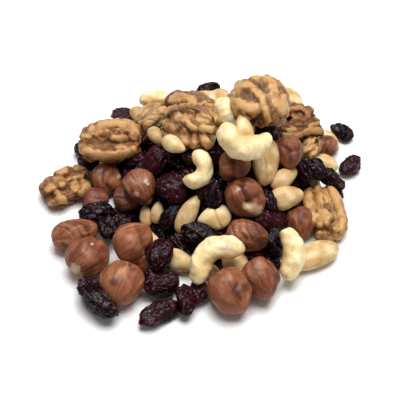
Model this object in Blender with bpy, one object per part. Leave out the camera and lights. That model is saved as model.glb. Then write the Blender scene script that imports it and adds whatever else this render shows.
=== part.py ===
"""A loose heap of trail mix, as tipped out on a table: walnut halves, hazelnut kernels in their brown skins,
cashews, blanched almonds and raisins, with two raisins that rolled off to the right.

The near side is laid out as it is seen: each piece has the place where the eye sees it and slides along that
line of sight until it rests on the heap. The far side, which the eye can't see, is laid by a seeded rule.
All layout is in millimetres, and the meshes are made in metres, +Z up, with the table at z = 0.
"""

import math

import bmesh
import bpy
import numpy as np

MM = 0.001

# The eye: a square picture of the heap from a chair at the table
PICTURE_PX = 400
MM_PER_PX = 0.46
EYE_DISTANCE = 480.0
EYE_RAISE = math.radians(48)
AIM = np.array([-1.1, 5.5, 0.0])

# The mound under the nuts that show: a rounded cone, steeper behind than in front
MOUND_TOP = 37.0
MOUND_AT = np.array([6.1, 20.4])
MOUND_LEFT, MOUND_RIGHT = 46.0, 44.0
MOUND_NEAR, MOUND_FAR = 56.0, 39.0
MOUND_ROUNDING = 0.35

# Pieces nestle: two of them rest on each other at this share of their radii, and sink a bit into the mound.
# On its slope they lie with their broad side turned this much more to the eye than the slope has it.
NESTLE = 0.80
SETTLE_IN_MOUND = 1.5
LEAN = 0.5

# Width and thickness as shares of the length
PROPORTIONS = {
    "walnut": (0.80, 0.46),
    "hazelnut": (0.92, 0.90),
    "cashew": (0.68, 0.40),
    "almond": (0.56, 0.42),
    "raisin": (0.64, 0.54),
}

# How much of a cashew's thickness its two blunt ends add to the length of the arc along its middle
CASHEW_ENDS = 0.75

# The near side: what, where it is seen (pixels right and down in the picture), its length, width and
# thickness in mm (0: the usual share of the length), the direction of its long axis as seen (degrees,
# anticlockwise from the right), how far that end is raised, and how far it rolls over. Those at the skyline,
# where what carries them is out of sight, also have the height of their middle in mm.
SEEN = (
    # along the back of the heap, from the left
    ("raisin", 127, 117, 15, 9, 7, -5, 0, 0, 8),
    ("almond", 141, 117, 14, 8, 6, -45, 0, 0, 11),
    ("cashew", 154, 101, 17, 0, 7.5, 180, 0, 0, 18),
    ("hazelnut", 177, 101, 12, 0, 0, 60, 0, 0, 21),
    ("raisin", 186, 97, 10, 6, 5, -30, 0, 0, 25),
    ("raisin", 208, 89, 12, 7, 6, 20, 0, 0, 25),
    ("almond", 201, 97, 15, 8.5, 5, 12, 0, 0, 28),
    ("almond", 218, 97, 17, 9, 7, 40, 0, 0, 31),
    ("almond", 292, 99, 16, 9, 7, -50, 0, 0, 14),
    ("cashew", 236, 116, 24, 0, 10, -40, 0, 0),
    ("walnut", 192, 106, 24, 15, 11, -18, 0, 180),
    ("walnut", 152, 118, 15, 13, 10, 40, 0, 180),
    ("walnut", 190, 128, 26, 20, 13, -10, 0, 0),
    ("walnut", 259, 103, 26, 25, 14, 85, 0, 180),
    ("walnut", 299, 114, 14, 11, 8, -20, 0, 0),
    # down the right side
    ("almond", 328, 141, 15, 9, 7, -50, 0, 0),
    ("hazelnut", 325, 147, 12, 0, 0, 70, 0, 0),
    ("walnut", 300, 131, 23, 13, 9, 14, 0, 180),
    ("almond", 324, 163, 14, 9, 6.5, -20, 0, 0),
    ("walnut", 311, 147, 11, 9, 7, 60, 0, 0),
    ("raisin", 276, 132, 10, 7, 6, 80, 0, 0),
    ("raisin", 337, 195, 8, 6, 5, 90, 0, 0),
    ("raisin", 337, 183, 8, 7, 6, -60, 0, 0),
    ("raisin", 329, 176, 11, 8, 7, -50, 0, 0),
    ("raisin", 316, 169, 12, 9, 7, -30, 0, 0),
    ("raisin", 298, 182, 13, 8, 7, 5, 0, 0),
    ("raisin", 303, 170, 13, 7, 6, -60, 0, 0),
    ("hazelnut", 289, 152, 14.5, 12.5, 12, -80, 0, 0),
    ("almond", 284, 178, 17, 8.5, 7, 38, 0, 0),
    ("raisin", 296, 204, 10, 7, 6, 10, 0, 0),
    ("almond", 287, 197, 17, 10.5, 8, 14, 0, 0),
    ("walnut", 325, 212, 29, 17, 12, -78, 0, 0),
    ("hazelnut", 300, 222, 14.5, 13, 12.5, -75, 0, 0),
    # the crest
    ("almond", 244, 131, 14, 8, 7, 100, 0, 0),
    ("almond", 266, 163, 22, 12.5, 10, -101, 0, 0),
    ("hazelnut", 234, 166, 14.5, 13, 12.5, 0, 0, 0),
    ("cashew", 245, 138, 25, 19.5, 10.5, -14, 0, 0),
    ("hazelnut", 245, 197, 18.5, 17.5, 16, -50, 0, 0),
    ("raisin", 269, 203, 12, 6.5, 6, -75, 0, 0),
    # the dark hollow in the middle and what lies in it
    ("raisin", 146, 140, 12, 9, 8, 40, 0, 0),
    ("raisin", 136, 161, 12, 9, 8, 0, 0, 0),
    ("raisin", 156, 161, 14, 12, 9, 60, 0, 0),
    ("raisin", 175, 161, 12, 7, 6, -50, 0, 0),
    ("raisin", 172, 187, 15, 12.5, 9, -40, 0, 0),
    ("raisin", 206, 188, 12, 7, 6, 70, 0, 0),
    ("raisin", 215, 194, 13, 7.5, 7, 80, 0, 0),
    ("almond", 157, 136, 14, 7, 6, -45, 0, 0),
    ("almond", 174, 145, 12, 7, 6, -28, 0, 0),
    ("cashew", 196, 169, 16.5, 15, 7.5, 70, 0, 0),
    # the left side
    ("raisin", 89, 161, 11, 8, 7, 0, 0, 0),
    ("walnut", 110, 141, 29, 22, 13, 5, 0, 0),
    ("walnut", 67, 187, 25, 18, 11, 28, 0, 0),
    ("hazelnut", 95, 200, 12, 11, 11, 0, 0, 0),
    ("hazelnut", 127, 200, 13, 12, 12, 0, 0, 0),
    ("raisin", 97, 214, 16, 12, 9, 0, 0, 0),
    ("raisin", 122, 225, 15, 11, 9, 20, 0, 0),
    ("raisin", 107, 229, 12, 8, 7, -60, 0, 0),
    ("hazelnut", 107, 179, 15.5, 14, 13.5, 70, 0, 0),
    ("almond", 146, 216, 10, 6, 5, 95, 0, 0),
    ("almond", 157, 213, 10, 6, 5, 80, 0, 0),
    ("hazelnut", 140, 187, 17, 15.5, 15, -60, 0, 0),
    # the near slope
    ("raisin", 170, 218, 12, 7, 6, 50, 0, 0),
    ("almond", 188, 214, 18.5, 8, 7, 62, 0, 0),
    ("cashew", 214, 218, 15, 10.5, 8, 200, 0, 0),
    ("raisin", 183, 247, 13, 7.5, 6, -50, 0, 0),
    ("raisin", 199, 234, 17, 9, 7, -12, 0, 0),
    ("raisin", 268, 221, 14, 8, 7, -25, 0, 0),
    ("raisin", 275, 242, 13, 8, 7, -80, 0, 0),
    ("raisin", 254, 255, 10, 7, 6, 0, 0, 0),
    ("hazelnut", 247, 236, 20, 14.5, 14, -15, 0, 0),
    ("hazelnut", 147, 262, 12, 11, 11, 0, 0, 0),
    ("almond", 180, 261, 15, 9, 7, -25, 0, 0),
    ("hazelnut", 133, 242, 19, 16.5, 15, 42, 0, 0),
    # along the table in front, from the left
    ("hazelnut", 74, 235, 21, 14.5, 14, 18, 0, 0),
    ("hazelnut", 88, 257, 19, 18, 17.5, 40, 0, 0),
    ("hazelnut", 122, 283, 19, 18.5, 18, -100, 0, 0),
    ("raisin", 97, 298, 24, 11, 9, -42, 0, 0),
    ("raisin", 160, 253, 16, 11.5, 9, 80, 0, 0),
    ("raisin", 159, 312, 19, 9.5, 8, 28, 0, 0),
    ("raisin", 199, 292, 12, 8, 7, 80, 0, 0),
    ("raisin", 186, 301, 14, 9, 8, -80, 0, 0),
    ("raisin", 161, 283, 16, 13, 10, 15, 0, 0),
    ("cashew", 216, 260, 28, 19, 10, -145, 0, 0),
    ("hazelnut", 230, 291, 20, 18.5, 18, -60, 0, 0),
    ("almond", 314, 256, 24, 12, 8.5, 204, 0, 0),
    ("cashew", 288, 253, 26, 15, 9.5, 90, 30, 0),
    ("hazelnut", 261, 278, 18.5, 16, 16, -58, 0, 0),
)

# The two raisins that lie apart, on the table
STRAYS = (
    ("raisin", 342, 132, 12.5, 8, 7, -32, 0, 0),
    ("raisin", 350, 166, 13, 8.5, 7.5, 32, 0, 0),
)

# The far side, by a seeded rule: each kind's usual length, where pieces come down, how far back and how high
# one may lie, and which share of it may show to the eye where it shouldn't, and at all unless it is a raisin
FAR_SEED = 11
FAR_TRIES = 3600
KINDS = ("walnut", "hazelnut", "cashew", "almond", "raisin")
USUAL_LENGTHS = {"walnut": 26, "hazelnut": 17, "cashew": 23, "almond": 20, "raisin": 14}
FAR_SHARES = (0.22, 0.24, 0.16, 0.16, 0.22)
HEAP_AT = np.array([1.1, 11.4])
HEAP_REACH = np.array([60.0, 64.0])
HEAP_BACK = 69.8
HIGHEST_LIE = 6.0
MOST_WRONG = 0.12
MOST_SHOWN = 0.3

# Nuts tucked in where the mound is still bare, in rounds: how many places are tried, the share of the usual
# length, and how often each kind is tried. Then how far past the mound's rim they lie, how near they come to
# others, as a share of the radii, and how deep they sit.
TUCKED_SEED = 24
TUCKED_ROUNDS = ((2000, 0.90, (0.22, 0.32, 0.18, 0.28, 0.0)),)
TUCKED_OUT = 1.10
TUCKED_ROOM = 0.72
TUCKED_SINK = 1.0


def eye_axes():
    """The eye's place and its right, up and backward directions."""
    back = np.array([0.0, -math.cos(EYE_RAISE), math.sin(EYE_RAISE)])
    right = np.array([1.0, 0.0, 0.0])
    return AIM + EYE_DISTANCE * back, right, np.cross(back, right), back


EYE, RIGHT, UP, BACK = eye_axes()


def sight_line(px, py):
    """The direction in which the eye sees a place of the picture."""
    half = PICTURE_PX / 2
    way = RIGHT * (px - half) * MM_PER_PX + UP * (half - py) * MM_PER_PX - BACK * EYE_DISTANCE
    return way / np.linalg.norm(way)


def mound_out(x, y):
    """How far out from the mound's top a place lies: 0 there, and 1 at the rim, on each of its four sides."""
    reach_x = np.where(x < MOUND_AT[0], MOUND_LEFT, MOUND_RIGHT)
    reach_y = np.where(y < MOUND_AT[1], MOUND_NEAR, MOUND_FAR)
    return np.hypot((x - MOUND_AT[0]) / reach_x, (y - MOUND_AT[1]) / reach_y)


def mound_height(x, y):
    """A rounded cone's height: a hyperbola of how far out a place lies."""
    rim, top = math.hypot(1, MOUND_ROUNDING), MOUND_ROUNDING
    return np.maximum(MOUND_TOP * (rim - np.hypot(mound_out(x, y), MOUND_ROUNDING)) / (rim - top), 0.0)


def mound_normal(x, y):
    """The mound's upward normal, from its slope over a nut's width, or straight up on the table."""
    step = 5.0
    slope_x = (mound_height(x + step, y) - mound_height(x - step, y)) / (2 * step)
    slope_y = (mound_height(x, y + step) - mound_height(x, y - step)) / (2 * step)
    normal = np.array([-slope_x, -slope_y, 1.0])
    return normal / np.linalg.norm(normal)


def turned_to_eye(normal):
    """A slope's normal, turned to the eye, or the table's normal as it is."""
    leaning = normal + LEAN * BACK
    return normal if normal[2] == 1 else leaning / np.linalg.norm(leaning)


def cashew_arc(size):
    """The arc along a cashew's middle, from its length, width and thickness: radius, half angle and depth."""
    half_chord, depth = (size[0] - CASHEW_ENDS * size[2]) / 2, size[1] - size[2]
    half_angle = 2 * math.atan2(depth, half_chord)
    return half_chord / math.sin(half_angle), half_angle, depth


def balls_of(kind, size):
    """A piece as a few balls, centres and radii in its own axes, which is what rests on what."""
    length, width, thick = size
    if kind == "cashew":
        bend, half_angle, depth = cashew_arc(size)
        turn = half_angle * np.linspace(-0.95, 0.95, 7)
        centres = np.stack([bend * np.sin(turn), bend * (1 - np.cos(turn)) - depth / 2, 0 * turn], axis=1)
        return centres, np.full(7, thick / 2)
    ball = thick / 2
    columns = max(2, math.ceil((length - thick) / (0.6 * thick)) + 1)
    along = np.linspace(-1, 1, columns)
    rows = 1 if width < 1.15 * thick else 3
    across = np.linspace(-1, 1, rows) if rows > 1 else np.zeros(1)
    grid_x, grid_y = (g.ravel() for g in np.meshgrid(along, across))
    reach = np.sqrt(np.maximum(1 - 0.45 * grid_x**2, 0))
    x = grid_x * (length / 2 - ball) * np.sqrt(1 - 0.3 * grid_y**2)
    centres = np.stack([x, grid_y * reach * (width / 2 - ball), 0 * grid_x], axis=1)
    return centres, np.full(len(centres), ball)


def axes_on(normal, seen_turn, raised, rolled):
    """A piece's axes, as columns, on a slope, with its long axis seen at an angle in the picture."""
    seen = math.cos(seen_turn) * RIGHT + math.sin(seen_turn) * UP
    long_axis = np.cross(normal, np.cross(BACK, seen))
    long_axis *= math.copysign(1 / np.linalg.norm(long_axis), long_axis @ seen)
    base = np.stack([long_axis, np.cross(normal, long_axis), normal], axis=1)
    ct, st, cr, sr = math.cos(raised), math.sin(raised), math.cos(rolled), math.sin(rolled)
    lift = np.array([[ct, 0, -st], [0, 1, 0], [st, 0, ct]])
    roll = np.array([[1, 0, 0], [0, cr, -sr], [0, sr, cr]])
    return base @ lift @ roll


def way_to_balls(starts, radii, way, placed):
    """How far balls move along a way until one touches a placed ball: a sphere's and a ray's first root."""
    if not len(placed):
        return math.inf
    apart = starts[:, None, :] - placed[None, :, :3]
    reach = NESTLE * (radii[:, None] + placed[None, :, 3])
    middle = -(apart @ way)
    room = middle**2 - ((apart**2).sum(axis=2) - reach**2)
    hit = room > 0
    return float(np.min(middle[hit] - np.sqrt(room[hit]))) if hit.any() else math.inf


def way_to_ground(starts, radii, way):
    """How far balls move along a way until one meets the table, or the mound, felt for in small steps."""
    table = float(np.min((radii - starts[:, 2]) / way[2]))
    steps = np.arange(max(0.0, table - 140.0), table, 0.25)
    points = starts[None] + steps[:, None, None] * way
    ground = mound_height(points[..., 0], points[..., 1])
    room = points[..., 2] - 1.12 * radii - ground + SETTLE_IN_MOUND
    under = np.nonzero(((room < 0) & (ground > 0)).any(axis=1))[0]
    return min(table, float(steps[under[0]])) if len(under) else table


def settle(kind, size, start, way, turn_on, placed):
    """Moves a piece along a way until it rests: its middle, its axes and its balls (x, y, z, radius)."""
    centres, radii = balls_of(kind, size)
    probe = np.array([size[2] / 2])
    reach = min(way_to_ground(start[None], probe, way), way_to_balls(start[None], probe, way, placed))
    landing = start + reach * way
    axes = turn_on(mound_normal(landing[0], landing[1]))
    starts = start + centres @ axes.T
    reach = min(way_to_ground(starts, radii, way), way_to_balls(starts, radii, way, placed))
    middle = start + reach * way
    return middle, axes, np.column_stack([middle + centres @ axes.T, radii])


def seen_by_eye(balls, placed, seen):
    """Which share of these balls' middles and rims the eye sees, and which share shows where it shouldn't.

    That is before the white table, or in front of one of the seen pieces, the first in the list.
    """
    ring = np.linspace(0, 2 * math.pi, 8, endpoint=False)
    spots = [balls[:, :3]]
    spots += [balls[:, :3] + balls[:, 3:] * (math.cos(a) * RIGHT + math.sin(a) * UP) for a in ring]
    spots = np.concatenate(spots)
    far = np.linalg.norm(spots - EYE, axis=1)
    ways = (spots - EYE) / far[:, None]
    along = ways @ (placed[:, :3] - EYE).T
    off = np.linalg.norm(placed[:, :3] - EYE, axis=1) ** 2 - along**2
    met = off < placed[:, 3] ** 2
    open_spots = ~(met & (along < far[:, None])).any(axis=1)
    in_front = open_spots & met[:, :seen].any(axis=1)
    beyond = spots[:, None, :] + np.arange(0, 90, 3.0)[None, :, None] * ways[:, None, :]
    ground = mound_height(beyond[..., 0], beyond[..., 1])
    over_mound = ((beyond[..., 2] < ground) & (ground > 0)).any(axis=1)
    return float(open_spots.mean()), float((in_front | (open_spots & ~over_mound)).mean())


def full_size(kind, length, width, thick):
    """A piece's three sizes, with the usual share of the length where one is 0."""
    wide, deep = PROPORTIONS[kind]
    return np.array([length, width or wide * length, thick or deep * length])


def lay_seen(rows, placed, laid):
    """Slides each piece of a list along its line of sight until it rests, or is at its given height."""
    for kind, px, py, length, width, thick, turn, raised, rolled, *height in rows:
        size, way = full_size(kind, length, width, thick), sight_line(px, py)
        angles = [math.radians(a) for a in (turn, raised, rolled)]
        turn_on = lambda slope: axes_on(turned_to_eye(slope), *angles)
        middle, axes, balls = settle(kind, size, EYE, way, turn_on, placed)
        if height:
            back_up = (height[0] - middle[2]) / way[2] * way
            middle, balls[:, :3] = middle + back_up, balls[:, :3] + back_up
        placed = np.vstack([placed, balls])
        laid.append((kind, size, middle, axes))
    return placed


def random_piece(rng, shares, scale, middle, reach):
    """A piece of a random kind and size, a random place in an oval, and how it is turned and rolled."""
    kind = KINDS[rng.choice(len(KINDS), p=shares)]
    size = full_size(kind, scale * USUAL_LENGTHS[kind] * rng.uniform(0.86, 1.14), 0, 0)
    around, out = rng.uniform(0, 2 * math.pi), math.sqrt(rng.uniform())
    x, y = middle + out * reach * np.array([math.cos(around), math.sin(around)])
    turn, roll = rng.uniform(-math.pi, math.pi), rng.choice([0, math.pi]) + rng.normal(0, 0.25)
    return kind, size, np.array([x, y, mound_height(x, y)]), turn, roll


def fits_in(kind, balls, placed, seen):
    """Whether a piece stays within the heap and leaves the eye's picture as it is: only raisins may show."""
    if (balls[:, 1] + balls[:, 3]).max() > HEAP_BACK:
        return False
    shows, wrong = seen_by_eye(balls, placed, seen)
    return wrong < MOST_WRONG and (shows < MOST_SHOWN or kind == "raisin")


def lay_far(placed, laid, seen):
    """Lets pieces come down square to the slope, at random, and keeps those that lie low and hardly show."""
    rng = np.random.default_rng(FAR_SEED)
    for _ in range(FAR_TRIES):
        kind, size, target, turn, roll = random_piece(rng, FAR_SHARES, 1.0, HEAP_AT, HEAP_REACH)
        normal = mound_normal(target[0], target[1])
        start = target + 100 * normal
        turn_on = lambda slope: axes_on(slope, turn, 0.0, roll)
        middle, axes, balls = settle(kind, size, start, -normal, turn_on, placed)
        low = (middle - target) @ normal - size[2] / 2 < HIGHEST_LIE
        apart = np.linalg.norm(balls[:, None, :3] - placed[None, :, :3], axis=2)
        touches = (apart - balls[:, None, 3] - placed[:, 3]).min() < 0 or target[2] > 4
        if low and touches and fits_in(kind, balls, placed, seen):
            placed = np.vstack([placed, balls])
            laid.append((kind, size, middle, axes))
    return placed


def tuck_in(placed, laid, seen, rounds, seed):
    """Puts pieces on the mound, or on the table against it, where there is room between the others."""
    rng = np.random.default_rng(seed)
    for tries, scale, shares in rounds:
        for _ in range(tries):
            kind, size, target, turn, roll = random_piece(rng, shares, scale, HEAP_AT, HEAP_REACH)
            if mound_out(target[0], target[1]) > TUCKED_OUT:
                continue
            on_table = target[2] < 1.0
            normal = np.array([0.0, 0.0, 1.0]) if on_table else mound_normal(target[0], target[1])
            axes = axes_on(normal, turn, 0.0, roll)
            middle = target + (size[2] / 2 - (0.0 if on_table else TUCKED_SINK)) * normal
            centres, radii = balls_of(kind, size)
            balls = np.column_stack([middle + centres @ axes.T, radii])
            apart = np.linalg.norm(balls[:, None, :3] - placed[None, :, :3], axis=2)
            room = apart - TUCKED_ROOM * (radii[:, None] + placed[None, :, 3])
            ties = not on_table or (apart - radii[:, None] - placed[None, :, 3]).min() < -0.3
            if room.min() > 0 and ties and fits_in(kind, balls, placed, seen):
                placed = np.vstack([placed, balls])
                laid.append((kind, size, middle, axes))
    return placed


def lay_out():
    """Everything in its place: kind, size, middle and axes of each piece, for the heap and for the strays."""
    placed, heap, strays = np.zeros((0, 4)), [], []
    placed = lay_seen(SEEN, placed, heap)
    seen = len(placed)
    placed = lay_far(placed, heap, seen)
    placed = tuck_in(placed, heap, seen, TUCKED_ROUNDS, TUCKED_SEED)
    lay_seen(STRAYS, placed, strays)
    return heap, strays


def ball_grid(around, rings):
    """A closed ball of rings round the X axis: latitude and longitude of each vertex, and the faces."""
    lat = np.linspace(-90, 90, rings + 2)[1:-1]
    lon = np.linspace(0, 360, around, endpoint=False)
    lats = np.concatenate([[-90], np.repeat(lat, around), [90]])
    lons = np.concatenate([[0], np.tile(lon, rings), [0]])
    faces = [(0, 1 + (k + 1) % around, 1 + k) for k in range(around)]
    for r in range(rings - 1):
        a, b = 1 + r * around, 1 + (r + 1) * around
        faces += [(a + k, a + (k + 1) % around, b + (k + 1) % around, b + k) for k in range(around)]
    last, end = 1 + (rings - 1) * around, 1 + rings * around
    faces += [(end, last + k, last + (k + 1) % around) for k in range(around)]
    return np.radians(lats), np.radians(lons), faces


def almond_shape(lat, lon, size):
    """An oval with a round end and a pointed end at +X."""
    s, c = np.sin(lat), np.cos(lat)
    taper = 1 - 0.20 * s
    y = size[1] / 2 * c * taper * np.cos(lon)
    return np.stack([size[0] / 2 * s, y, size[2] / 2 * c * taper**0.5 * np.sin(lon)], axis=1)


def hazelnut_shape(lat, lon, size):
    """A round kernel, broader toward its flat scar at -X, with a short tip at +X."""
    s, c = np.sin(lat), np.cos(lat)
    x = size[0] / 2 * np.where(s < 0, 0.94 * s, s + 0.06 * np.maximum(s, 0) ** 12)
    broad = (1 - 0.10 * s) * c**0.92
    return np.stack([x, size[1] / 2 * broad * np.cos(lon), size[2] / 2 * broad * np.sin(lon)], axis=1)


def cashew_shape(lat, lon, size):
    """A crescent that opens to +Y: a tube along an arc, blunt at its ends and a little thinner toward one."""
    bend, half_angle, depth = cashew_arc(size)
    along = lat / (math.pi / 2)
    tube = size[2] / 2 * np.sqrt(1 - along**4) * (1 - 0.10 * along)
    out = bend + tube * np.cos(lon)
    x = out * np.sin(half_angle * along)
    y = bend - depth / 2 - out * np.cos(half_angle * along)
    return np.stack([x, y, -tube * np.sin(lon)], axis=1)


def raisin_shape(lat, lon, size):
    """A shrunken oval with three blunt folds."""
    s, half = np.sin(lat), size / 2
    out = np.cos(lat) * (1 + 0.10 * np.cos(3 * lon + 2 * s))
    return np.stack([half[0] * s, half[1] * out * np.cos(lon), half[2] * out * np.sin(lon)], axis=1)


def walnut_shape(lat, lon, size):
    """Half a kernel: a dome below, and above it two rolled rims, two hollows and a bridge between them."""
    s, c = np.sin(lat), np.cos(lat)
    across, face = np.cos(lon), np.sin(lon)
    x = size[0] / 2 * (1.12 * s - 0.24 * s**9)
    bulge = c**0.8
    rise = np.where(face > 0, 0.42 * np.maximum(face, 0) ** 0.6, 0.58 * face)
    dip = np.exp(-(((np.abs(across) - 0.45) / 0.22) ** 2)) * (face > 0)
    return np.stack([x, size[1] / 2 * bulge * across, size[2] * bulge * (rise - 0.22 * dip)], axis=1)


# Each kind's shape, and the sides and rings of its ball
SHAPES = {
    "walnut": (walnut_shape, 10, 5),
    "hazelnut": (hazelnut_shape, 7, 4),
    "cashew": (cashew_shape, 6, 7),
    "almond": (almond_shape, 6, 4),
    "raisin": (raisin_shape, 5, 3),
}

# A ball with few sides lies inside the round one, so it is made this much larger to be as full
FULLER = 1.06

# The core under the pieces: the mound as rings and spokes, on a flat base, with a low wall at its rim
CORE_SPOKES = 32
CORE_RINGS = 6
CORE_RIM = 1.0

# No piece reaches lower than this above the table: only the core's flat base lies on it
FLOOR_CLEARANCE = 0.2

# Necks join pieces where they touch: their radius as a share of the smaller piece's, how deep they reach into
# the mound, and from what height of the mound on a piece may be joined to it
NECK_SHARE = 0.5
NECK_DEPTH = 3.0
NECK_GROUND = 4.0


def piece_mesh(name, kind, size, middle, axes, lowest):
    """One piece in its place, with nothing below the lowest height."""
    shape, around, rings = SHAPES[kind]
    lat, lon, faces = ball_grid(around, rings)
    points = middle + FULLER * shape(lat, lon, size) @ axes.T
    points[:, 2] = np.maximum(points[:, 2], lowest)
    return add_mesh(name, points, faces)


def add_mesh(name, points, faces):
    """A mesh object from points in millimetres."""
    mesh = bpy.data.meshes.new(name)
    mesh.from_pydata((np.asarray(points) * MM).tolist(), [], faces)
    obj = bpy.data.objects.new(name, mesh)
    bpy.context.collection.objects.link(obj)
    return obj


def core_mesh(name):
    """The mound as a closed solid: a top of rings and spokes, a low wall at its rim, and a flat bottom."""
    angles = np.linspace(0, 2 * math.pi, CORE_SPOKES, endpoint=False)
    reach_x = np.where(np.cos(angles) < 0, MOUND_LEFT, MOUND_RIGHT)
    reach_y = np.where(np.sin(angles) < 0, MOUND_NEAR, MOUND_FAR)
    reach = 1 / np.hypot(np.cos(angles) / reach_x, np.sin(angles) / reach_y)
    shares = np.linspace(0, 1, CORE_RINGS + 1)[1:]
    x = MOUND_AT[0] + np.concatenate([[0], np.outer(shares, reach * np.cos(angles)).ravel()])
    y = MOUND_AT[1] + np.concatenate([[0], np.outer(shares, reach * np.sin(angles)).ravel()])
    top = np.stack([x, y, np.maximum(mound_height(x, y), CORE_RIM)], axis=1)
    rim = top[-CORE_SPOKES:].copy()
    rim[:, 2] = 0
    points = np.vstack([top, rim, [[MOUND_AT[0], MOUND_AT[1], 0]]])
    n = CORE_SPOKES
    faces = [(0, 1 + k, 1 + (k + 1) % n) for k in range(n)]
    for ring in range(CORE_RINGS):
        a, b = 1 + ring * n, 1 + (ring + 1) * n
        faces += [(a + k, b + k, b + (k + 1) % n, a + (k + 1) % n) for k in range(n)]
    floor, centre = 1 + CORE_RINGS * n, len(points) - 1
    faces += [(floor + k, centre, floor + (k + 1) % n) for k in range(n)]
    return add_mesh(name, points, faces)


def neck_mesh(start, end, radius):
    """A three-sided neck between two points, clear of the table."""
    way = (end - start) / np.linalg.norm(end - start)
    side = np.cross(way, [0.3, 0.5, 0.8])
    side /= np.linalg.norm(side)
    other = np.cross(way, side)
    ring = [radius * (math.cos(a) * side + math.sin(a) * other) for a in np.radians([0, 120, 240])]
    points = np.array([start + r for r in ring] + [end + r for r in ring])
    points[:, 2] = np.maximum(points[:, 2], FLOOR_CLEARANCE)
    faces = [(2, 1, 0), (3, 4, 5)] + [(k, (k + 1) % 3, 3 + (k + 1) % 3, 3 + k) for k in range(3)]
    return add_mesh("neck", points, faces)


def necks(heap):
    """Joins every piece to the nearest that is joined already, from the mound outward, by a neck in both.

    Each piece starts with the way to the mound as its best, and a piece that has just been joined offers the
    others a shorter one. The gap between two balls is the distance of their middles less their radii.
    """
    balls = []
    for kind, size, middle, axes in heap:
        centres, radii = balls_of(kind, size)
        balls.append(np.column_stack([middle + centres @ axes.T, radii]))
    best = []
    for group in balls:
        ground = mound_height(group[:, 0], group[:, 1])
        gap = np.where(ground > NECK_GROUND, group[:, 2] - group[:, 3] - ground, math.inf)
        k = int(np.argmin(gap))
        best.append((float(gap[k]), group[k], np.array([*group[k, :2], ground[k] - NECK_DEPTH, group[k, 3]])))
    made, waiting = [], set(range(len(heap)))
    while waiting:
        pick = min(waiting, key=lambda k: best[k][0])
        waiting.remove(pick)
        _, start, end = best[pick]
        made.append(neck_mesh(start[:3], end[:3], NECK_SHARE * min(start[3], end[3])))
        for k in waiting:
            apart = np.linalg.norm(balls[k][:, None, :3] - balls[pick][None, :, :3], axis=2)
            gap = apart - balls[k][:, None, 3] - balls[pick][None, :, 3]
            i, j = np.unravel_index(np.argmin(gap), gap.shape)
            if gap[i, j] < best[k][0]:
                best[k] = (float(gap[i, j]), balls[k][i], balls[pick][j])
    return made


def fuse(base, others):
    """Joins a list of solids to one, and removes them. The exact solver leaves some of these unjoined."""
    group = bpy.data.collections.new("to join")
    bpy.context.scene.collection.children.link(group)
    for obj in others:
        group.objects.link(obj)
    join = base.modifiers.new("join", "BOOLEAN")
    join.operation, join.solver = "UNION", "MANIFOLD"
    join.operand_type, join.collection = "COLLECTION", group
    bpy.context.view_layer.update()
    fused = bpy.data.meshes.new_from_object(base.evaluated_get(bpy.context.evaluated_depsgraph_get()))
    base.modifiers.clear()
    base.data = fused
    for obj in others:
        bpy.data.objects.remove(obj)
    bpy.data.collections.remove(group)


def keep_outside(obj):
    """Fills the hollows that fusing closed off and drops loose scraps: only the largest shell stays."""
    work = bmesh.new()
    work.from_mesh(obj.data)
    bmesh.ops.triangulate(work, faces=work.faces)
    unseen, shells = set(work.faces), []
    while unseen:
        shell, edge_of_shell = [], [unseen.pop()]
        while edge_of_shell:
            face = edge_of_shell.pop()
            shell.append(face)
            beside = {other for edge in face.edges for other in edge.link_faces} & unseen
            unseen -= beside
            edge_of_shell += beside
        shells.append(shell)
    shells.sort(key=len)
    bmesh.ops.delete(work, geom=[face for shell in shells[:-1] for face in shell], context="FACES")
    work.to_mesh(obj.data)
    work.free()


def material(name, colour, roughness):
    """A plain coloured material."""
    paint = bpy.data.materials.new(name)
    paint.use_nodes = True
    shader = paint.node_tree.nodes["Principled BSDF"]
    shader.inputs["Base Color"].default_value = (*colour, 1)
    shader.inputs["Roughness"].default_value = roughness
    return paint


def build():
    """Lays the heap out, makes its solids and fuses them; the strays stay apart."""
    for obj in list(bpy.data.objects):
        bpy.data.objects.remove(obj)
    heap, strays = lay_out()
    pieces = [piece_mesh(f"{p[0]} {k}", *p, FLOOR_CLEARANCE) for k, p in enumerate(heap)]
    core = core_mesh("trail_mix_heap")
    fuse(core, pieces + necks(heap))
    keep_outside(core)
    core.data.materials.clear()
    core.data.materials.append(material("trail mix", (0.42, 0.24, 0.12), 0.55))
    for k, piece in enumerate(strays):
        stray = piece_mesh(f"raisin_beside_{k + 1}", *piece, 0.0)
        stray.data.materials.append(material(f"raisin {k + 1}", (0.05, 0.02, 0.03), 0.45))


build()
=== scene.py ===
import math

import bpy
import numpy as np
from mathutils import Matrix


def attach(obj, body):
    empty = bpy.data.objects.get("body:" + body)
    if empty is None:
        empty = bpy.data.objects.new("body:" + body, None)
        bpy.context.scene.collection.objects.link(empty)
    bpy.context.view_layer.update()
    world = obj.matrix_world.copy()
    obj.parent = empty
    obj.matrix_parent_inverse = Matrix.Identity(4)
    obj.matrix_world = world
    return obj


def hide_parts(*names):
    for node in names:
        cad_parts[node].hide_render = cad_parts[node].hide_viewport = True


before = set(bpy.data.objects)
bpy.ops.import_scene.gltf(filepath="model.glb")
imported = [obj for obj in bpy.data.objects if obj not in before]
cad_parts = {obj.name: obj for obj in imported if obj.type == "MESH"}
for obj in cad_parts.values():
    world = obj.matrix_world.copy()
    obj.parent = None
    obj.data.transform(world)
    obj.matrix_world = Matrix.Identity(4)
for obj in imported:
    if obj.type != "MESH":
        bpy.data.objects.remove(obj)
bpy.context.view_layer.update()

# A loose heap of trail mix: walnut halves, hazelnut kernels, cashews, blanched almonds and raisins. Each
# piece is laid out as in the solids, in mm, and then gets the fine form of its kind, such as walnut folds.
MM = 0.001
FLOOR_CLEARANCE = 0.2
HEAP, STRAY_NODES = "trail_mix_heap", ("raisin_beside_1", "raisin_beside_2")

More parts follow.
